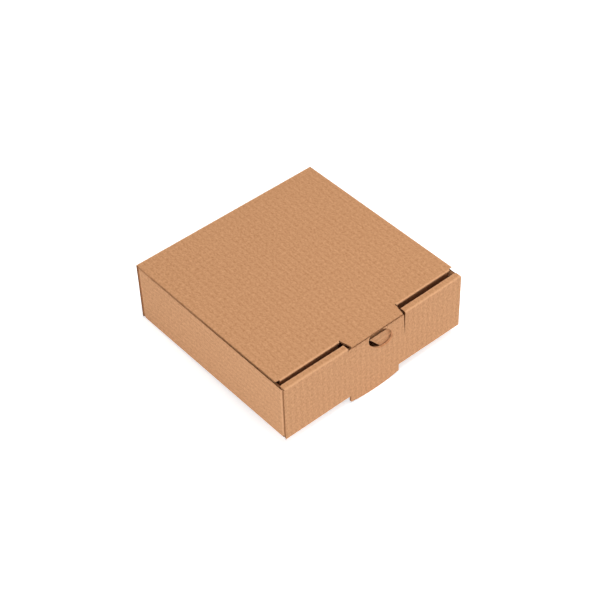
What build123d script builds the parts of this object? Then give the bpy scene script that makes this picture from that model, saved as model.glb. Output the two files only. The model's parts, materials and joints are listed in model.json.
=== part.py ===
from build123d import *
import math
import os

# Overall size of the closed box, in millimetres
box_width = 210.0
box_depth = 208.0
box_height = 65.4

# The sheet and its folds
board = 2.2
fold_outer_radius = 1.9
fold_inner_radius = 0.3
layer_gap = 0.15
lid_gap = 0.3
hinge_setback = 0.22
cut_overrun = 1.0

# Front wall: outer panel, ear and inner panel lie in one stack under the flat top
stacked_layers = 3
inner_panel_side_gap = 0.4
flat_top_end_gap = 1.0

# Notch through the front wall, a little to the right of the middle
notch_width = 68.0
notch_shift = 1.3

# Closure tab that fills the notch in the outer panel, free along two slits and at its top
tab_crease_height = 33.5
tab_top_drop = 2.4
slit_gap = 0.35
slit_taper = 1.35

# Finger hole, a leaning oval that the tab's top edge cuts off
hole_long_radius = 16.0
hole_short_radius = 10.0
hole_lean = -33.5
hole_shift = 5.9
hole_rise = 16.7

# Tongue that stays in the front wall's plane where it is cut out of the bottom
tongue_width = 58.0
tongue_side_length = 7.0
tongue_bow = 3.0
tongue_cut_gap = 0.4

# Lock tabs of the inner panel in the slots of the bottom
lock_tab_width = 22.0
lock_tab_offset = 54.0
lock_tab_lift = 0.3
lock_slot_gap = 0.3

# Ears folded in from the side walls
ear_floor_gap = 0.3
ear_meeting_gap = 0.6
ear_meeting_shift = -5.5
ear_top_gap = 7.35
ear_slant_run = 41.8
rear_ear_length = 52.0
ear_corner_cut = 9.0

# Lid, which lies lower at the front, with its tuck flaps and neck
lid_droop = 2.0
lid_setback = 10.8
flap_depth = 28.0
flap_lean = 9.0
flap_side_gap = 4.0
flap_corner_cut = 8.0
neck_root_width = 66.0
neck_end_width = 60.4
neck_shift = 0.6
neck_flap_gap = 1.2
neck_overhang = 1.0

# Places worked out from the sizes above
half_width = box_width / 2
half_depth = box_depth / 2
lid_underside = box_height - board
wall_top = lid_underside - lid_gap
roll_depth = stacked_layers * board + (stacked_layers - 1) * layer_gap
inner_panel_face = roll_depth - half_depth
ear_face = half_depth - board - layer_gap
notch_left = notch_shift - notch_width / 2
notch_right = notch_shift + notch_width / 2
lid_front = lid_setback - half_depth
lid_hinge = Axis((0, half_depth, box_height), (1, 0, 0))
droop_angle = math.degrees(math.atan2(lid_droop, half_depth - lid_front))


def offset_corner(before, corner, after, distance):
    # The corner of a run of straight stretches, moved to the right by the distance
    first = (corner - before).normalized()
    last = (after - corner).normalized()
    first_right = Vector(first.Y, -first.X)
    last_right = Vector(last.Y, -last.X)
    return corner + (first_right + last_right) * (distance / (1 + first_right.dot(last_right)))


def folded_sheet(points):
    # Section of a sheet whose outer skin follows the points, with its thickness to the right
    skin = [Vector(*point) for point in points]
    heading = (skin[1] - skin[0]).normalized()
    ending = (skin[-1] - skin[-2]).normalized()
    inside = [skin[0] + Vector(heading.Y, -heading.X) * board]
    inside += [offset_corner(a, b, c, board) for a, b, c in zip(skin, skin[1:], skin[2:])]
    inside.append(skin[-1] + Vector(ending.Y, -ending.X) * board)
    outer = FilletPolyline(*skin, radius=fold_outer_radius)
    inner = FilletPolyline(*inside, radius=fold_inner_radius)
    return make_face([*outer.edges(), Line(skin[-1], inside[-1]), *inner.edges(), Line(inside[0], skin[0])])


def block(low, high):
    # A box between two corners, used as a cutter and for the lock tabs
    size = Vector(*high) - Vector(*low)
    return Pos(*low) * Box(*size, align=(Align.MIN, Align.MIN, Align.MIN))


def along_width(section, width):
    # A section drawn in depth and height, spread evenly to both sides
    return extrude(Plane.YZ * section, amount=width / 2, both=True)


def outline_in_height(points, low, high):
    # An outline drawn in width and height, between two depths
    face = make_face(Polyline(*points, close=True))
    return extrude(Plane((0, high, 0), x_dir=(1, 0, 0), z_dir=(0, -1, 0)) * face, amount=high - low)


def tongue_outline(root, margin):
    # The tongue in width and length from the crease, with a root behind it and a bowed end
    half = tongue_width / 2 + margin
    side = tongue_side_length + margin
    sides = Polyline((half, side), (half, -root), (-half, -root), (-half, side))
    end = ThreePointArc((-half, side), (0, side + tongue_bow), (half, side))
    return make_face([*sides.edges(), end])


def make_walls():
    # Back wall, bottom and rolled front wall as one folded strip
    mitre_top = box_height - hinge_setback
    inner_panel_foot = board + layer_gap
    strip = along_width(
        folded_sheet([
            (half_depth, mitre_top),
            (half_depth, 0),
            (-half_depth, 0),
            (-half_depth, wall_top),
            (inner_panel_face, wall_top),
            (inner_panel_face, inner_panel_foot),
        ]),
        box_width,
    )
    mitre = make_face(Polyline(
        (half_depth, mitre_top),
        (half_depth - board, mitre_top - board),
        (half_depth - board, mitre_top),
        close=True,
    ))
    strip -= along_width(mitre, box_width + cut_overrun)
    flat_top_half = half_width - flat_top_end_gap
    inner_half = half_width - board - inner_panel_side_gap
    flat_top_foot = wall_top - board
    for side in (-1, 1):
        for reach, low, high in (
            (flat_top_half, flat_top_foot, wall_top + cut_overrun),
            (inner_half, board, flat_top_foot),
        ):
            near, far = sorted((side * reach, side * (half_width + cut_overrun)))
            strip -= block((near, -half_depth + board, low), (far, inner_panel_face + cut_overrun, high))
    # The notch goes through the outer panel, the flat top and the inner panel
    strip -= block(
        (notch_left, -half_depth - cut_overrun, tab_crease_height - hinge_setback),
        (notch_right, inner_panel_face + cut_overrun, wall_top + cut_overrun),
    )
    # The tongue goes straight on below the front wall and leaves its shape open in the bottom
    inside_fold = board + fold_inner_radius
    opening_plane = Plane((0, -half_depth, -cut_overrun))
    opening = tongue_outline(cut_overrun, tongue_cut_gap)
    strip -= extrude(opening_plane * opening, amount=inside_fold + cut_overrun)
    tongue_plane = Plane((0, -half_depth, 0), x_dir=(1, 0, 0), z_dir=(0, 1, 0))
    strip += extrude(tongue_plane * tongue_outline(inside_fold, 0), amount=board)
    return strip


def make_side(front_ear_end):
    # Right-hand side wall with its two ears, a folded strip that stands on its edge
    section = folded_sheet([
        (half_width - rear_ear_length, ear_face),
        (half_width, ear_face),
        (half_width, -ear_face),
        (front_ear_end, -ear_face),
    ])
    strip = extrude(section, amount=wall_top)
    # The top edge slopes with the lid
    above = block(
        (-half_width, -half_depth, wall_top),
        (half_width + cut_overrun, half_depth, wall_top + box_height),
    )
    strip -= above.rotate(lid_hinge, droop_angle)
    # The ears are free of the bottom, and the front one ends well below the flat top
    wall_inside = half_width - board
    ear_foot = board + ear_floor_gap
    flat_top_underside = wall_top - board - layer_gap
    ear_top = flat_top_underside - ear_top_gap
    strip -= block((-half_width, -half_depth, -cut_overrun), (wall_inside, -ear_face + board, ear_foot))
    strip -= block((-half_width, ear_face - board, -cut_overrun), (wall_inside, half_depth, ear_foot))
    strip -= block(
        (-half_width, -half_depth, flat_top_underside),
        (half_width + cut_overrun, inner_panel_face + lid_gap, box_height),
    )
    ear_back = -ear_face + board + layer_gap
    strip -= block((-half_width, -half_depth, ear_top), (wall_inside, ear_back, box_height))
    # The front ear's end slants away below, and the rear ear has cut corners
    strip -= outline_in_height(
        [
            (front_ear_end - cut_overrun, ear_top),
            (front_ear_end, ear_top),
            (front_ear_end + ear_slant_run, board),
            (front_ear_end + ear_slant_run, 0),
            (front_ear_end - cut_overrun, 0),
        ],
        -half_depth,
        ear_back,
    )
    rear_end = half_width - rear_ear_length
    for corner, inward in ((ear_foot, 1), (wall_top, -1)):
        strip -= outline_in_height(
            [
                (rear_end, corner),
                (rear_end + ear_corner_cut, corner),
                (rear_end, corner + inward * ear_corner_cut),
            ],
            ear_face - board - layer_gap,
            half_depth,
        )
    return strip


def make_base_tray():
    # The front ears meet to the left of the middle, so the right one is longer
    right = make_side(ear_meeting_gap / 2 + ear_meeting_shift)
    left = mirror(make_side(ear_meeting_gap / 2 - ear_meeting_shift), about=Plane.YZ)
    tray = make_walls() + [right, left]
    # Round the bottom's side creases like the front one
    rounding = Pos(half_width, 0) * (
        Rectangle(fold_outer_radius, fold_outer_radius, align=(Align.MAX, Align.MIN))
        - Pos(-fold_outer_radius, fold_outer_radius) * Circle(fold_outer_radius)
    )
    crease = extrude(Plane.XZ * rounding, amount=ear_face, both=True)
    tray -= [crease, mirror(crease, about=Plane.YZ)]
    # Lock tabs in their slots
    tab_back = inner_panel_face
    tab_front = inner_panel_face - board
    for side in (-1, 1):
        start = side * lock_tab_offset - lock_tab_width / 2
        end = start + lock_tab_width
        tray -= block(
            (start - lock_slot_gap, tab_front - lock_slot_gap, -cut_overrun),
            (end + lock_slot_gap, tab_back + lock_slot_gap, board),
        )
        tray += block((start, tab_front, lock_tab_lift), (end, tab_back, board + board))
    return tray


def make_lid():
    # The panel with its tuck flaps folded down and leaning in, then the gap for the neck
    lid_back = half_depth - hinge_setback
    flap_foot = box_height - flap_depth
    flap_end = lid_front + flap_lean
    panel = along_width(
        folded_sheet([(flap_end, flap_foot), (lid_front, box_height), (lid_back, box_height)]),
        box_width,
    )
    mitre = make_face(Polyline(
        (lid_back, box_height),
        (lid_back, lid_underside),
        (lid_back - board, lid_underside),
        close=True,
    ))
    panel -= along_width(mitre, box_width + cut_overrun)
    panel_front = lid_front + fold_outer_radius
    flap_back = flap_end + board + cut_overrun
    neck_gap_half = neck_root_width / 2 + neck_flap_gap
    neck_gap_left = neck_shift - neck_gap_half
    neck_gap_right = neck_shift + neck_gap_half
    panel -= block(
        (neck_gap_left, lid_front - cut_overrun, flap_foot - cut_overrun),
        (neck_gap_right, flap_back, lid_underside),
    )
    panel -= block(
        (neck_gap_left, lid_front - cut_overrun, flap_foot),
        (neck_gap_right, panel_front, box_height + cut_overrun),
    )
    flap_side = half_width - flap_side_gap
    for side, inner_edge in ((-1, neck_gap_left), (1, neck_gap_right)):
        near, far = sorted((side * flap_side, side * (half_width + cut_overrun)))
        corner = (near, lid_front - cut_overrun, flap_foot - cut_overrun)
        panel -= block(corner, (far, panel_front, box_height + cut_overrun))
        panel -= block(corner, (far, flap_back, lid_underside))
        for edge, inward in ((side * flap_side, -side), (inner_edge, side)):
            panel -= outline_in_height(
                [
                    (edge, flap_foot),
                    (edge + inward * flap_corner_cut, flap_foot),
                    (edge, flap_foot + flap_corner_cut),
                ],
                lid_front - cut_overrun,
                flap_back,
            )
    # The neck tapers forward in the lid's plane to a plain cut edge above the tab
    neck_end = -half_depth - neck_overhang
    neck = extrude(
        Pos(neck_shift, 0, lid_underside) * make_face(Polyline(
            (-neck_root_width / 2, panel_front + board),
            (-neck_root_width / 2, lid_front),
            (-neck_end_width / 2, neck_end),
            (neck_end_width / 2, neck_end),
            (neck_root_width / 2, lid_front),
            (neck_root_width / 2, panel_front + board),
            close=True,
        )),
        amount=board,
    )
    return (panel + neck).rotate(lid_hinge, droop_angle)


def make_closure_tab():
    # Drawn in width and height, with the right slit widening towards the top
    left = notch_left + slit_gap
    right = notch_right - slit_gap
    foot = tab_crease_height + hinge_setback
    top = wall_top - tab_top_drop
    corners = [(left, foot), (right, foot), (right - slit_taper, top), (left, top)]
    face = make_face(Polyline(*corners, close=True))
    hole_place = Pos(hole_shift, tab_crease_height + hole_rise) * Rot(0, 0, hole_lean)
    face -= hole_place * Ellipse(hole_long_radius, hole_short_radius)
    front = Plane((0, -half_depth, 0), x_dir=(1, 0, 0), z_dir=(0, -1, 0))
    return extrude(front * face, amount=-board)


os.makedirs("parts", exist_ok=True)
for node, shape in (
    ("base_tray", make_base_tray()),
    ("lid", make_lid()),
    ("closure_tab", make_closure_tab()),
):
    export_step(shape, f"parts/{node}.step")
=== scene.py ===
import json
import math

import bmesh
import bpy
import numpy as np
from mathutils import Matrix, Vector


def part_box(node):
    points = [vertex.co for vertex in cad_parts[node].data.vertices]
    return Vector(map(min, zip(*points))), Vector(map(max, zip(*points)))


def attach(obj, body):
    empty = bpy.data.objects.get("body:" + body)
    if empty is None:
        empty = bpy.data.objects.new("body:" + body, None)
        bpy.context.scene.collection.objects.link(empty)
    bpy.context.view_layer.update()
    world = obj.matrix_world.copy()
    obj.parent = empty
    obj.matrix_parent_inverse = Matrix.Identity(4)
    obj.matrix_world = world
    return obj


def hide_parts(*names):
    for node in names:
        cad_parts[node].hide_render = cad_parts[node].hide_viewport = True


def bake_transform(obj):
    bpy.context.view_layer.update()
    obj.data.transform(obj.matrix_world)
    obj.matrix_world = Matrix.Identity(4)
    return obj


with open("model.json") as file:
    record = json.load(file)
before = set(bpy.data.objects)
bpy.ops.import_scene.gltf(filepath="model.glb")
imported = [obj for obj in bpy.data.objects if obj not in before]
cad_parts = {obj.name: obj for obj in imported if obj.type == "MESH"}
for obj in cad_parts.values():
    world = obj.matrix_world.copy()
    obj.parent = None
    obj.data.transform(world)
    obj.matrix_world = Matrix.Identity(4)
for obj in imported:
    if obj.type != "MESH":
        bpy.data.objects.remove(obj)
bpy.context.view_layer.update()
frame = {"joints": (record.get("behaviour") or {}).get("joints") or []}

# places that the frame gives, in metres
trayLow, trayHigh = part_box("base_tray")
tabLow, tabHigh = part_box("closure_tab")
hinges = {joint["name"]: joint["pos_m"] for joint in frame["joints"]}
side = trayHigh.x
front = trayLow.y
back, lidTop = hinges["lid_hinge"][1:]
creaseHeight = hinges["tab_hinge"][2]
tongueTip = -trayLow.z

board = {
    "thick": 0.0022,         # both liners and the flutes
    "liner": 0.0003,
    "medium": 0.00022,
    "pitch": 0.00625,        # crest to crest
    "sag": 0.00008,          # how far a liner dips between crests
    "creaseFade": 0.0006,    # how far a crease's pale line, pale fibres with a painted highlight, reaches past its bend
    "mediumShade": 0.3,      # painted shade on the medium, lighter than the painted shade on the liners' faces inside the board
    "outerRadius": 0.0010,   # outside of a crease
    "innerRadius": 0.0003,
    "bendSteps": 6,
    "step": 0.012,           # rows along a straight stretch
    "linerColumns": 8,       # per flute
    "mediumColumns": 12,
    "columnGap": 0.00012,    # the least between a regular column and a cut
    "mergeGap": 0.000005,
    "flatGap": 0.000002,
    "sharpAngle": 40,
}
hair = 0.000001              # slack when places are compared
layerGap = 0.00015
lidGap = 0.0003
slitGap = 0.00035
lidUnder = lidTop - board["thick"]
wallTop = lidUnder - lidGap
foldReach = 0.0040           # from the lid's crease to where its panels begin
creaseReach = 0.0012         # the same at the tab's crease


# paths: the skins of a strip that is folded, drawn in its own plane

def turnRight(heading):
    return np.array((heading[1], -heading[0]))


def bendArc(corner, heading, nextHeading, radius, steps):
    turn = math.acos(max(-1.0, min(1.0, float(heading @ nextHeading))))
    trim = radius * math.tan(turn / 2)
    centre = corner - heading * trim + turnRight(heading) * radius
    angles = np.linspace(0, turn, steps + 1)
    return [centre + radius * (heading * math.sin(a) - turnRight(heading) * math.cos(a)) for a in angles]


def foldPath(points, radius=board["outerRadius"]):
    # outer skin through the points, inner skin a board's thickness to the right, every turn to the right
    points = [np.array(p, float) for p in points]
    headings = [(b - a) / np.linalg.norm(b - a) for a, b in zip(points, points[1:])]
    outer, inner, corners = [points[0]], [points[0] + turnRight(headings[0]) * board["thick"]], []
    for corner, heading, nextHeading in zip(points[1:-1], headings, headings[1:]):
        rightA, rightB = turnRight(heading), turnRight(nextHeading)
        insideCorner = corner + board["thick"] * (rightA + rightB) / (1 + rightA @ rightB)
        corners.append((len(outer), len(outer) + board["bendSteps"]))
        outer += bendArc(corner, heading, nextHeading, radius, board["bendSteps"])
        inner += bendArc(insideCorner, heading, nextHeading, board["innerRadius"], board["bendSteps"])
    outer.append(points[-1])
    inner.append(points[-1] + turnRight(headings[-1]) * board["thick"])
    outer, inner = np.array(outer), np.array(inner)
    run = np.concatenate(([0], np.cumsum(np.linalg.norm(np.diff(outer, axis=0), axis=1))))
    return {
        "run": run,
        "outer": outer,
        "inner": inner,
        "bends": [(run[a], run[b]) for a, b in corners],
    }


def alongPath(path, runs):
    def at(skin):
        return np.stack([np.interp(runs, path["run"], path[skin][:, i]) for i in (0, 1)], -1)
    return at("outer"), at("inner")


# sheets: two liners with a waved medium between them, each a closed shell

def fluteWave(across):
    # the wave's phase leaves the flutes open at the box's left side
    return -np.cos(2 * math.pi * (across + side) / board["pitch"])


def columnsOf(low, high, perFlute, breaks):
    count = max(2, round((high - low) / board["pitch"] * perFlute))
    regular = np.linspace(low, high, count + 1)
    cuts = np.array([b for b in breaks if low < b < high] + [low, high])
    apart = np.abs(regular[:, None] - cuts[None, :]).min(1) > board["columnGap"]
    return np.unique(np.concatenate((regular[apart], cuts)))


def rowsOf(path, cuts, step):
    marks = np.unique(np.round(np.concatenate((path["run"], np.array(list(cuts), float))), 7))
    marks = marks[marks < path["run"][-1] + hair]
    rows = [marks[:1]]
    for a, b in zip(marks, marks[1:]):
        rows.append(np.linspace(a, b, max(1, round((b - a) / step)) + 1)[1:])
    return np.concatenate(rows)


def shellFaces(keep, offset):
    # faces of a closed shell over the kept cells of a grid, with a rim wherever a kept cell ends
    columns, rows = keep.shape[0] + 1, keep.shape[1] + 1
    index = np.arange(columns * rows).reshape(columns, rows) + offset
    under = columns * rows
    i, k = np.nonzero(keep)
    top = np.stack((index[i, k], index[i + 1, k], index[i + 1, k + 1], index[i, k + 1]), -1)
    faces = [top, top[:, ::-1] + under]
    padded = np.pad(keep, 1).astype(int)
    i, k = np.nonzero(np.diff(padded[:, 1:-1], axis=0))
    a, b = index[i, k], index[i, k + 1]
    faces.append(np.stack((a, b, b + under, a + under), -1))
    i, k = np.nonzero(np.diff(padded[1:-1, :], axis=1))
    a, b = index[i, k], index[i + 1, k]
    faces.append(np.stack((a, b, b + under, a + under), -1))
    return np.concatenate(faces), 2 * under


def makeSheet(
    name, path, width, spread, keep=None, breaks=(), cuts=(), layout=None, skins=None, settle=None,
    seal=None, wearAndHighlightShare=lambda u: 1, hollowShadeShare=lambda v: 1,
):
    liner = board["liner"] / board["thick"]
    medium = board["medium"] / board["thick"]
    sag = board["sag"] / board["thick"]
    swing = 0.5 - liner - medium / 2
    layers = (
        ("linerColumns", board["step"], lambda u: (0.5 - 0.5 * fluteWave(u)) * sag, liner),
        ("mediumColumns", 1.0, lambda u: 0.5 - swing * fluteWave(u) - medium / 2, medium),
        ("linerColumns", board["step"], lambda u: 1 - liner - (0.5 + 0.5 * fluteWave(u)) * sag, liner),
    )
    fades = [
        edge + way * n * board["creaseFade"]
        for bend in path["bends"] for edge, way in zip(bend, (-1, 1)) for n in (1, 2)
    ]
    points, places, wearsAndHighlights, hollowShades, faces, offset = [], [], [], [], [], 0
    for layer, (density, step, depth, thickness) in enumerate(layers):
        u = columnsOf(*width, board[density], breaks)
        v = rowsOf(path, (*cuts, *fades) if layer == 0 else cuts, step)
        across, along = np.meshgrid(u, v, indexing="ij")
        rim = seal(across, along) if seal else np.zeros_like(across)
        if layout:
            along = layout(u, v)
        if layer:
            along = along + rim * board["liner"]
        outer, inner = (skins or (lambda a, b: alongPath(path, b)))(across, along)
        kept = np.ones((len(u) - 1, len(v) - 1), bool)
        if keep:
            midU, midV = np.meshgrid((u[1:] + u[:-1]) / 2, (v[1:] + v[:-1]) / 2, indexing="ij")
            kept = keep(midU, midV)
        for extra in (0, thickness):
            crushed = (rim != 0) & (layer == 0)
            share = np.where(crushed & (extra > 0), 1, depth(across) + extra)[..., None]
            flat = spread(across, outer, inner, share).reshape(-1, 3)
            points.append(settle(flat) if settle else flat)
            places.append(np.stack((across, along, np.full_like(across, layer)), -1).reshape(-1, 3))
            # crease paleness: partly pale stretched fibres, partly a painted highlight along the fold
            wear = wearAndHighlightShare(across) * creaseWearAndHighlight(path, along) * (layer == 0)
            # a crushed rim's back edge is made fully pale: a painted highlight that lightens the hole's rim
            # against its shade
            wearsAndHighlights.append(np.where(crushed, extra > 0, wear).ravel())
            # painted shade inside the flutes: full on the liners' hidden faces, weaker on the medium, none
            # on a crushed rim
            shade = board["mediumShade"] if layer == 1 else (layer == 0) == (extra > 0)
            hollowShades.append(np.where(crushed, 0, shade * hollowShadeShare(along)).ravel())
        made, count = shellFaces(kept, offset)
        faces.append(made)
        offset += count
    mesh = bpy.data.meshes.new(name)
    mesh.from_pydata(np.concatenate(points).tolist(), [], np.concatenate(faces).tolist())
    attribute = mesh.attributes.new("boardPlace", "FLOAT_VECTOR", "POINT")
    attribute.data.foreach_set("vector", np.concatenate(places).astype(np.float32).ravel())
    attribute = mesh.attributes.new("boardWear", "FLOAT", "POINT")
    attribute.data.foreach_set("value", np.concatenate(wearsAndHighlights).astype(np.float32))
    attribute = mesh.attributes.new("boardInside", "FLOAT", "POINT")
    attribute.data.foreach_set("value", np.concatenate(hollowShades).astype(np.float32))
    tidyMesh(mesh)
    piece = bpy.data.objects.new(name, mesh)
    bpy.context.scene.collection.objects.link(piece)
    print("sheet", name, len(mesh.polygons), "faces")
    return piece


def creaseWearAndHighlight(path, along):
    # 1 on a crease, fading on each side: partly pale stretched fibres, partly a painted highlight along the
    #                                     fold
    wear = np.zeros_like(along)
    for a, b in path["bends"]:
        gone = np.maximum(0, np.maximum(a - along, along - b))
        wear = np.maximum(wear, np.exp(-(gone / board["creaseFade"]) ** 2))
    return wear


def clampRows(rows, low, high):
    return np.clip(rows[None, :], low[:, None], high[:, None])


def tidyMesh(mesh):
    work = bmesh.new()
    work.from_mesh(mesh)
    bmesh.ops.delete(work, geom=[v for v in work.verts if not v.link_faces], context="VERTS")
    bmesh.ops.remove_doubles(work, verts=work.verts, dist=board["mergeGap"])
    bmesh.ops.dissolve_degenerate(work, edges=work.edges, dist=board["flatGap"])
    bmesh.ops.recalc_face_normals(work, faces=work.faces)
    work.to_mesh(mesh)
    work.free()
    mesh.polygons.foreach_set("use_smooth", np.ones(len(mesh.polygons), bool))
    mesh.set_sharp_from_angle(angle=math.radians(board["sharpAngle"]))


def acrossBox(across, outer, inner, share):
    # a strip that runs front to back: width, then the path's depth and height
    plan = outer + (inner - outer) * share
    return np.stack((across, plan[..., 0], plan[..., 1]), -1)


# tray: back wall, bottom and rolled front wall in one strip, with the tongue below the front

wrap = {
    "notchLeft": tabLow.x - slitGap,
    "notchRight": tabHigh.x + slitGap,
    "innerHalf": side - board["thick"] - 0.0004,
    "flatTopHalf": side - 0.0010,
    "lockOffset": 0.0540,
    "lockHalf": 0.0110,
    "lockLift": 0.0003,
    "slotGap": 0.00005,
    "tongueHalf": 0.0290,
    "tongueBow": 0.0030,
    "kerf": 0.0004,
    "bulge": 0.0005,          # how far the front's top crease bows out
    "bulgeSlack": 0.0001,
}
rollDepth = 3 * board["thick"] + 2 * layerGap
rollBack = front + rollDepth


def bulgeFront(points):
    moved = points.copy()
    x, y, z = points.T
    share = (1 - (x / side) ** 2) * np.clip(z / wallTop, 0, 1) * (y < rollBack + wrap["bulgeSlack"])
    moved[:, 1] -= wrap["bulge"] * share
    return moved


def makeWrap():
    w = wrap
    foot = board["thick"] + layerGap
    radius = board["outerRadius"]
    path = foldPath([
        (back, lidTop - foldReach), (back, 0), (front, 0),
        (front, wallTop), (rollBack, wallTop), (rollBack, w["lockLift"]),
    ])
    (backA, backB), (frontA, frontB), (topA, topB), (innerA, innerB) = path["bends"]
    notchOuter = frontB + creaseHeight - creaseReach - radius
    notchInner = innerB + wallTop - radius - creaseHeight
    footRun = path["run"][-1] - (foot - w["lockLift"])
    slotNear = frontA - (rollBack + w["slotGap"] - front - radius)
    slotFar = slotNear + board["thick"] + 2 * w["slotGap"]
    tongueEnd = frontB - radius - (tongueTip - w["tongueBow"])
    kerfStart = tongueEnd - w["kerf"]
    edge = side - radius

    def bow(u):
        return w["tongueBow"] * np.maximum(0, 1 - (u / w["tongueHalf"]) ** 2)

    def layout(u, v):
        # the tongue's end, and the edge that it was cut from, bow towards the back
        share = np.interp(v, (backB, kerfStart, tongueEnd, frontA), (0, 1, 1, 0))
        return v[None, :] - bow(u)[:, None] * share[None, :]

    def skins(across, along):
        # the tongue goes straight down where the rest turns into the bottom
        outer, inner = alongPath(path, along)
        onTongue = (np.abs(across) <= w["tongueHalf"] + hair) & (along < frontB)
        onTongue &= along > tongueEnd - bow(across) - hair
        height = radius - (frontB - along)
        outer[onTongue] = np.stack((np.full_like(height, front), height), -1)[onTongue]
        inner[onTongue] = np.stack((np.full_like(height, front + board["thick"]), height), -1)[onTongue]
        return outer, inner

    def keep(u, v):
        onTongue = (np.abs(u) < w["tongueHalf"]) & (v > tongueEnd)
        byTongue = (np.abs(u) < w["tongueHalf"] + w["kerf"]) & (v > kerfStart) & (v < frontB)
        gone = (u > w["notchLeft"]) & (u < w["notchRight"]) & (v > notchOuter) & (v < notchInner)
        gone |= byTongue & ~onTongue
        u = np.abs(u)
        lock = np.abs(u - w["lockOffset"]) < w["lockHalf"]
        slot = np.abs(u - w["lockOffset"]) < w["lockHalf"] + w["slotGap"]
        gone |= (u > w["flatTopHalf"]) & (v > topA)
        gone |= (u > w["innerHalf"]) & (v > innerA)
        gone |= ~lock & (v > footRun)
        gone |= slot & (v > slotNear) & (v < slotFar)
        gone |= (u > edge) & (v > backB) & (v < frontA)
        return ~gone

    marks = [w["flatTopHalf"], w["innerHalf"], edge, w["tongueHalf"], w["tongueHalf"] + w["kerf"]]
    marks += [w["lockOffset"] + s * (w["lockHalf"] + g) for s in (-1, 1) for g in (0, w["slotGap"])]
    return makeSheet(
        "tray_wrap", path, (-side, side), acrossBox, keep, layout=layout, skins=skins, settle=bulgeFront,
        breaks=[s * m for s in (-1, 1) for m in marks] + [w["notchLeft"], w["notchRight"]],
        cuts=(notchOuter, notchInner, footRun, slotNear, slotFar, kerfStart, tongueEnd),
        wearAndHighlightShare=lambda u: np.abs(u) > w["tongueHalf"] + hair,
    )


# lid: it lies lower at its front and has slipped a little, and the side walls slope with it

lid = {
    "setback": 0.0108,
    "droop": 0.0020,
    "slip": 0.0010,
    "skew": 0.0008,
    "crushed": 0.1200,        # painted shade in the flutes grows from none at the hinge to full strength this far from it
    # strength of the painted shade in the neck's flutes
    "neckOpen": 0.6,
    "flapFoot": lidTop - 0.0280,
    "flapLean": 0.0090,
    "flapSide": side - 0.0040,
    "flapCorner": 0.0080,
    "neckRoot": 0.0330,
    "neckEnd": 0.0302,
    "neckShift": 0.0006,
    "neckGap": 0.0012,
    "neckOverhang": 0.0010,
}
lidFront = front + lid["setback"]


def fromHinge(points):
    # 0 at the lid's crease and 1 at its front edge
    return (back - points[:, 1]) / (back - lidFront)


def settleLid(points):
    moved = points.copy()
    away = fromHinge(points)
    moved[:, 0] += lid["slip"] * away
    moved[:, 1] += lid["skew"] * points[:, 0] / side * away
    moved[:, 2] -= lid["droop"] * away
    return moved


def makeLid():
    w = lid
    path = foldPath([
        (lidFront + w["flapLean"], w["flapFoot"]), (lidFront, lidTop), (back - foldReach, lidTop),
    ])
    bendA, bendB = path["bends"][0]
    panelFront = np.interp(bendB, path["run"], path["outer"][:, 0])
    neckEnd = front - w["neckOverhang"]
    stretch = (panelFront - neckEnd) / bendB
    gapHalf = w["neckRoot"] + w["neckGap"]

    def skins(across, along):
        outer, inner = alongPath(path, along)
        onNeck = (np.abs(across - w["neckShift"]) <= w["neckRoot"] + hair) & (along < bendB)
        reach = panelFront - (bendB - along) * stretch
        outer[onNeck] = np.stack((reach, np.full_like(reach, lidTop)), -1)[onNeck]
        inner[onNeck] = np.stack((reach, np.full_like(reach, lidUnder)), -1)[onNeck]
        return outer, inner

    def keep(u, v):
        fromNeck = np.abs(u - w["neckShift"])
        gone = (fromNeck > w["neckRoot"]) & (fromNeck < gapHalf) & (v < bendB)
        gone |= (np.abs(u) > w["flapSide"]) & (v < bendB)
        return ~gone

    def layout(u, v):
        fromNeck = np.abs(u - w["neckShift"])
        toEdge = np.minimum(fromNeck - gapHalf, w["flapSide"] - np.abs(u))
        corner = np.where(toEdge > -hair, np.maximum(0, w["flapCorner"] - toEdge), 0)
        slope = np.clip((fromNeck - w["neckEnd"]) / (w["neckRoot"] - w["neckEnd"]), 0, 1)
        onNeck = fromNeck <= w["neckRoot"] + hair
        neckStart = np.where(onNeck, slope * (lidFront - neckEnd) / stretch, 0)
        return clampRows(v, np.maximum(corner, neckStart), np.full_like(u, path["run"][-1]))

    def hollowShadeShare(v):
        # painted shade in the flutes: none at the hinge, growing towards the front, weaker on the neck
        toHinge = path["run"][-1] - v
        return np.clip(toHinge / w["crushed"], 0, 1) * np.where(v < bendB, w["neckOpen"], 1)

    neckMarks = (w["neckEnd"], w["neckRoot"], gapHalf, gapHalf + w["flapCorner"])
    sideMarks = (w["flapSide"] - w["flapCorner"], w["flapSide"])
    breaks = [w["neckShift"] + s * m for s in (-1, 1) for m in neckMarks]
    return makeSheet(
        "lid_board", path, (-side, side), acrossBox, keep, layout=layout, skins=skins, settle=settleLid,
        breaks=breaks + [s * m for s in (-1, 1) for m in sideMarks],
        wearAndHighlightShare=lambda u: np.abs(u - w["neckShift"]) > w["neckRoot"] + hair,
        hollowShadeShare=hollowShadeShare,
    )


def makeLidFold():
    path = foldPath([(back - foldReach, lidTop), (back, lidTop), (back, lidTop - foldReach)])
    return makeSheet("lid_crease", path, (-side, side), acrossBox, settle=settleLid)


# tray: a side wall with its two ears, bent up from the bottom

wing = {
    "earFloor": 0.0003,
    "earMeet": 0.0006,
    "earShift": -0.0055,      # the front ears meet left of the middle
    "earDrop": 0.00735,       # from the flat top's underside to the front ears
    "earSlant": 0.0418,
    "rearEar": 0.0520,
    "earCorner": 0.0090,
    "slopeFrom": 0.0300,      # the sheet's height above which it is pressed down towards the front
    "outerRadius": 0.0019,
    "stepGap": 0.0003,        # between the rolled front and the side wall's full height
    "footOverlap": 0.0001,
}


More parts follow.
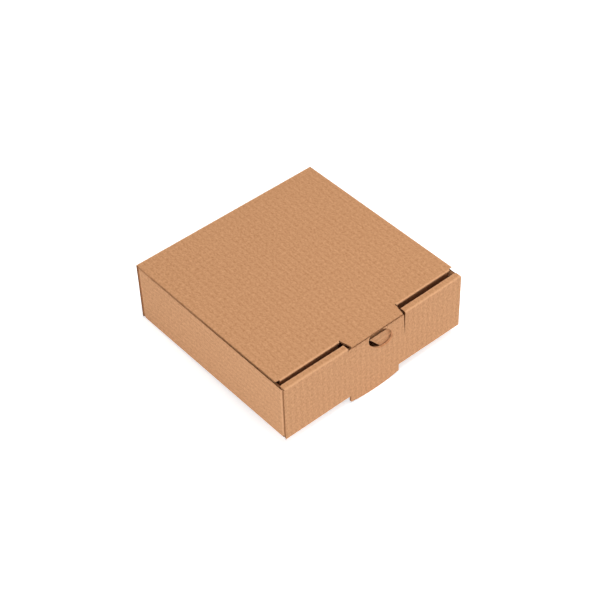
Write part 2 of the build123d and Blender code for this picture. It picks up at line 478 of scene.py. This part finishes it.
def settleWing(points):
    moved = points.copy()
    share = np.clip((points[:, 2] - wing["slopeFrom"]) / (wallTop - wing["slopeFrom"]), 0, 1)
    moved[:, 2] -= lid["droop"] * fromHinge(points) * share
    return moved


def makeWing(name, hand):
    w = wing
    earFace = back - board["thick"] - layerGap
    earEnd = w["earMeet"] / 2 + hand * w["earShift"]
    path = foldPath(
        [(side - w["rearEar"], earFace), (side, earFace), (side, -earFace), (earEnd, -earFace)],
        w["outerRadius"],
    )
    (rearA, rearB), (frontA, frontB) = path["bends"]
    length = path["run"][-1]
    pressed = lid["droop"] * (back + earFace) / (back - lidFront) / (wallTop - w["slopeFrom"])
    flatTopUnder = wallTop - board["thick"] - layerGap
    cornerTop, earTop = (
        (height - pressed * w["slopeFrom"]) / (1 - pressed)
        for height in (flatTopUnder, flatTopUnder - w["earDrop"])
    )
    earFoot = board["thick"] + w["earFloor"]
    stepDown = frontA - (rollBack + w["stepGap"] + earFace - w["outerRadius"])
    base = foldPath([(-board["outerRadius"] - w["footOverlap"], 0), (0, 0), (0, wallTop)][::-1])
    baseLength = base["run"][-1]

    def keep(u, v):
        # u runs down from the wall's top and round the bottom crease
        height = wallTop - u
        gone = ((v < rearB) | (v > frontA)) & (height < earFoot)
        gone |= (v > stepDown) & (height > cornerTop)
        gone |= (v > frontB) & (height > earTop)
        return ~gone

    def layout(u, v):
        height = wallTop - u
        rise = np.clip((earTop - height) / (earTop - board["thick"]), 0, 1)
        cut = np.maximum(0, w["earCorner"] - np.minimum(height - earFoot, wallTop - height))
        low = np.where(height < earFoot, 0, cut)
        return clampRows(v, low, length - rise * w["earSlant"])

    def spread(across, outer, inner, share):
        # the bottom crease moves a point in from the wall's face and round to the floor
        baseOuter, baseInner = alongPath(base, across)
        section = baseOuter + (baseInner - baseOuter) * share
        plan = outer + (inner - outer) * (-section[..., :1] / board["thick"])
        return np.stack((hand * plan[..., 0], plan[..., 1], section[..., 1]), -1)

    return makeSheet(
        name, path, (0, baseLength), spread, keep, layout=layout, settle=settleWing,
        breaks=(wallTop - earFoot, wallTop - earTop, wallTop - cornerTop, *base["run"][1:-1]),
        cuts=(stepDown,),
    )


# closure tab: it fills the front's notch, free along two slits, with a leaning oval finger hole

tab = {
    "taper": 0.00135,         # how much the right slit widens towards the top
    "holeLong": 0.0160,
    "holeShort": 0.0100,
    "holeLean": math.radians(-33.5),
    "holeX": 0.0059,
    "holeRise": 0.0167,
    "holeColumns": 28,
    "holeBand": 0.0005,       # half the nominal height that the hole opens from
    "score": 0.0003,          # half the crease line's width
    # the tab's score line is paler: pale fibres and a painted highlight
    "scoreWear": 0.3,
}
# the leaning oval's half width, its half height at the middle, and the slope of the line through its middles
leanCos, leanSin = math.cos(tab["holeLean"]), math.sin(tab["holeLean"])
holeHalf = math.hypot(tab["holeLong"] * leanCos, tab["holeShort"] * leanSin)
holeTall = tab["holeLong"] * tab["holeShort"] / holeHalf
holeSlope = (tab["holeLong"] ** 2 - tab["holeShort"] ** 2) * leanSin * leanCos / holeHalf ** 2


def settleTab(points):
    # the slits are closed at the crease, and open at the top more on the right than on the left
    moved = bulgeFront(points)
    share = np.clip((points[:, 2] - creaseHeight) / (tabHigh.z - creaseHeight), 0, 1)
    right = np.clip(points[:, 0] / tabHigh.x, 0, 1) ** 4
    left = np.clip(points[:, 0] / tabLow.x, 0, 1) ** 4
    moved[:, 0] += right * (slitGap * (1 - share) - tab["taper"] * share)
    moved[:, 0] -= left * slitGap * (1 - share ** 4)
    return moved


def makeTab():
    w = tab
    path = foldPath([(front, creaseHeight + creaseReach), (front, tabHigh.z)])
    top = path["run"][-1]
    middle = w["holeRise"] - creaseReach
    band = w["holeBand"]
    nominal = (0, middle - band, middle + band, top)

    def layout(u, v):
        # each column runs from the crease to the top, and parts round the hole
        out = np.clip((u - w["holeX"]) / holeHalf, -1, 1)
        centre = middle + holeSlope * holeHalf * out
        half = holeTall * np.sqrt(1 - out ** 2)
        ends = (0 * u, np.clip(centre - half, 0, top), np.clip(centre + half, 0, top), 0 * u + top)
        return np.array([np.interp(v, nominal, column) for column in zip(*ends)])

    def keep(u, v):
        return ~((np.abs(u - w["holeX"]) < holeHalf) & (np.abs(v - middle) < band))

    def seal(u, v):
        # the die crushes the hole's edge, so that it shows no flutes; the crushed rim also gets a painted
        # highlight and no painted shade
        onRim = (np.abs(u - w["holeX"]) < holeHalf + hair) & (np.abs(v - middle) < band + hair)
        return np.sign(v - middle) * onRim

    turns = np.linspace(0, math.pi, w["holeColumns"] + 1)
    return makeSheet(
        "tab_board", path, (tabLow.x, tabHigh.x), acrossBox, keep, layout=layout, settle=settleTab,
        breaks=w["holeX"] - holeHalf * np.cos(turns), cuts=nominal, seal=seal,
    )


def makeTabFold():
    path = foldPath([(front, creaseHeight - creaseReach), (front, creaseHeight + creaseReach)])
    path["bends"] = [(creaseReach - tab["score"], creaseReach + tab["score"])]
    return makeSheet(
        "tab_crease", path, (tabLow.x, tabHigh.x), acrossBox, settle=settleTab,
        cuts=np.linspace(0, 2 * creaseReach, board["bendSteps"] + 1), wearAndHighlightShare=lambda u: tab["scoreWear"],
    )


# finishes: one small class for shader maths

class Wire:
    def __init__(self, tree, socket):
        self.tree = tree
        self.socket = socket

    @classmethod
    def node(cls, tree, kind, settings=None, sockets=None, output=0):
        made = tree.nodes.new(kind)
        for name, value in (settings or {}).items():
            setattr(made, name, value)
        for name, value in (sockets or {}).items():
            if isinstance(value, Wire):
                tree.links.new(value.socket, made.inputs[name])
            else:
                made.inputs[name].default_value = value
        return cls(tree, made.outputs[output]) if made.outputs else None

    def maths(self, operation, *others):
        values = dict(enumerate((self, *others)))
        return Wire.node(self.tree, "ShaderNodeMath", {"operation": operation}, values)

    def __add__(self, other):
        return self.maths("ADD", other)

    def __sub__(self, other):
        return self.maths("SUBTRACT", other)

    def __rsub__(self, other):
        return self * -1 + other

    def __mul__(self, other):
        return self.maths("MULTIPLY", other)

    __radd__ = __add__
    __rmul__ = __mul__


def newMaterial(name):
    material = bpy.data.materials.new(name)
    material.use_nodes = True
    material.node_tree.nodes.clear()
    return material, material.node_tree


kraft = {
    "pale": (0.700, 0.375, 0.190, 1),
    "deep": (0.480, 0.225, 0.098, 1),
    "ridge": 0.08,            # painted shading of the flute ridges: how much they show in the colour
    "mottle": 0.50,
    "cloud": 0.12,
    "fibre": 2.70,
    "wear": 0.50,             # paler on the creases: pale stretched fibres and a painted highlight along each fold; also a painted highlight on the hole's rim
    "inside": (0.240, 0.076, 0.013, 1),
    "roughness": 0.86,
    "roughnessSpread": 0.1,
    "specular": 0.25,
    "bump": 0.25,
    "bumpDepth": 0.0003,
    "cloudScale": 14,
    "mottleScale": 210,
    "fibreScale": 480,
    "wanderScale": 30,
    "wander": 0.0016,         # how far the ridges stray sideways
}


def makeKraft():
    k = kraft
    material, tree = newMaterial("kraft_board")

    def noise(vector, scale, detail, seed):
        return Wire.node(tree, "ShaderNodeTexNoise", {"noise_dimensions": "4D"}, {
            "Vector": vector, "W": seed, "Scale": scale, "Detail": detail, "Roughness": 0.6}, "Fac") - 0.5

    def stretched(vector, across, along):
        return Wire.node(tree, "ShaderNodeVectorMath", {"operation": "MULTIPLY"}, {
            0: vector, 1: (across, along, 1)})

    place = Wire.node(tree, "ShaderNodeAttribute", {"attribute_name": "boardPlace"}, output="Vector")
    wear = Wire.node(tree, "ShaderNodeAttribute", {"attribute_name": "boardWear"}, output="Fac")
    across = Wire.node(tree, "ShaderNodeSeparateXYZ", None, {0: place})
    inside = Wire.node(tree, "ShaderNodeAttribute", {"attribute_name": "boardInside"}, output="Fac")
    spot = Wire.node(tree, "ShaderNodeNewGeometry", output="Position")
    cloud = noise(spot, k["cloudScale"], 3, 1.3)
    mottle = noise(stretched(place, 1.4, 0.8), k["mottleScale"], 4, 4.1)
    fibre = noise(stretched(place, 1.3, 0.8), k["fibreScale"], 6, 7.7)
    wander = noise(place, k["wanderScale"], 2, 2.2) * k["wander"]
    # painted shading: the flute ridges drawn as stripes in the colour
    ridge = ((across + wander + side) * (2 * math.pi / board["pitch"])).maths("COSINE") * -1
    tone = 0.5 + ridge * k["ridge"] + cloud * k["cloud"] + mottle * k["mottle"] + fibre * k["fibre"]
    # paler on the creases: pale fibres and a painted highlight
    tone = tone + wear * k["wear"]
    skin = Wire.node(tree, "ShaderNodeMix", {"data_type": "RGBA"}, {0: tone, 6: k["deep"], 7: k["pale"]}, 2)
    # painted shade: faces inside the flutes are mixed towards a dark brown
    colour = Wire.node(tree, "ShaderNodeMix", {"data_type": "RGBA"}, {0: inside, 6: skin, 7: k["inside"]}, 2)
    bump = Wire.node(tree, "ShaderNodeBump", None, {
        "Strength": k["bump"], "Distance": k["bumpDepth"], "Height": fibre * 0.6 + mottle * 0.4})
    shader = Wire.node(tree, "ShaderNodeBsdfPrincipled", None, {
        "Base Color": colour, "Roughness": k["roughness"] + fibre * k["roughnessSpread"],
        "Specular IOR Level": k["specular"], "Normal": bump})
    Wire.node(tree, "ShaderNodeOutputMaterial", None, {"Surface": shader})
    return material


# stage: floor, light and camera

warmWhite = (1, 0.955, 0.91)
coolWhite = (1, 1.07, 1.18)
studio = {
    "floorSize": 8.0,
    "floorColour": (0.90, 0.90, 0.90, 1),
    "floorGlow": 0.60,         # seen by the camera only, so that the floor is white
    "sky": 0.35,
    "lamps": {
        "top": {"power": 14.6, "size": (0.8, 0.8), "place": (0.25, -0.30, 1.60), "colour": warmWhite},
        "front": {"power": 3.6, "size": (1.4, 0.5), "place": (-0.05, -1.55, 0.28), "colour": coolWhite},
        "left": {"power": 9.2, "size": (0.5, 0.5), "place": (-1.50, -0.35, 0.28), "colour": coolWhite},
        "right": {"power": 6.0, "size": (0.8, 0.5), "place": (1.20, -1.20, 0.28), "colour": coolWhite},
    },
}
# the box stands on its back edge and on the tongue's tip, so the floor slopes against its frame
floorTilt = math.atan2(tongueTip, back - front - board["thick"])


def makeStudio():
    s = studio
    bpy.ops.mesh.primitive_plane_add(size=s["floorSize"], location=(0, back, 0), rotation=(floorTilt, 0, 0))
    floor = bpy.context.object
    floor.name = "floor"
    material, tree = newMaterial("floor_white")
    seen = Wire.node(tree, "ShaderNodeLightPath", output="Is Camera Ray")
    plain = Wire.node(tree, "ShaderNodeBsdfDiffuse", None, {"Color": s["floorColour"]})
    glow = Wire.node(tree, "ShaderNodeEmission", None, {"Strength": seen * s["floorGlow"]})
    both = Wire.node(tree, "ShaderNodeAddShader", None, {0: plain, 1: glow})
    Wire.node(tree, "ShaderNodeOutputMaterial", None, {"Surface": both})
    floor.data.materials.append(material)

    world = bpy.data.worlds.new("studio")
    world.use_nodes = True
    world.node_tree.nodes.clear()
    tree = world.node_tree
    direct, glossy, through = (
        Wire.node(tree, "ShaderNodeLightPath", output=f"Is {kind} Ray")
        for kind in ("Camera", "Glossy", "Transmission")
    )
    seen = direct.maths("MAXIMUM", glossy.maths("MAXIMUM", through))
    shader = Wire.node(tree, "ShaderNodeBackground", None, {
        "Color": (1, 1, 1, 1), "Strength": s["sky"] + seen * (1 - s["sky"])})
    Wire.node(tree, "ShaderNodeOutputWorld", None, {"Surface": shader})
    bpy.context.scene.world = world

    for name, values in s["lamps"].items():
        light = bpy.data.lights.new(name, "AREA")
        light.energy = values["power"]
        light.shape = "RECTANGLE"
        light.size, light.size_y = values["size"]
        light.color = values["colour"]
        lamp = bpy.data.objects.new(name, light)
        lamp.location = values["place"]
        lamp.rotation_euler = (Vector((0, 0, 0.03)) - lamp.location).to_track_quat("-Z", "Y").to_euler()
        bpy.context.scene.collection.objects.link(lamp)
    bpy.context.scene.view_settings.view_transform = "Standard"


viewpoint = {
    "azimuth": -39.2438,
    "elevation": 43.7575,
    "roll": 0.0386,            # radians
    "distance": 1.43482,
    "target": (0.000977, -0.000521, 0.02625),
    "lens": 93.27,
}


def makeCamera():
    c = viewpoint
    a, e = math.radians(c["azimuth"]), math.radians(c["elevation"])
    away = Vector((math.sin(a) * math.cos(e), -math.cos(a) * math.cos(e), math.sin(e)))
    level = Vector((0, 0, 1)).cross(away).normalized()
    upright = away.cross(level)
    right = level * math.cos(c["roll"]) - upright * math.sin(c["roll"])
    up = level * math.sin(c["roll"]) + upright * math.cos(c["roll"])
    lens = bpy.data.cameras.new("camera")
    lens.lens = c["lens"]
    lens.clip_start = 0.01
    camera = bpy.data.objects.new("camera", lens)
    turn = Matrix((right, up, away)).transposed().to_4x4()
    camera.matrix_world = Matrix.Translation(Vector(c["target"]) + away * c["distance"]) @ turn
    bpy.context.scene.collection.objects.link(camera)
    bpy.context.scene.camera = camera


def dress(piece, material, nodes):
    piece.data.materials.append(material)
    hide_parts(*nodes)


makeCamera()
makeStudio()
kraftBoard = makeKraft()
print("studio and finish")

for piece, body, node in (
    (makeWrap(), "tray", "base_tray"),
    (makeWing("tray_wing_right", 1), "tray", "base_tray"),
    (makeWing("tray_wing_left", -1), "tray", "base_tray"),
    (makeLid(), "lid", "lid"),
    (makeTab(), "closure_tab", "closure_tab"),
):
    dress(piece, kraftBoard, (node,))
    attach(piece, body)

lidCrease = makeLidFold()
dress(lidCrease, kraftBoard, ("base_tray", "lid"))
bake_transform(lidCrease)
tabCrease = makeTabFold()
dress(tabCrease, kraftBoard, ("base_tray", "closure_tab"))
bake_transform(tabCrease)
print("pieces on their bodies")
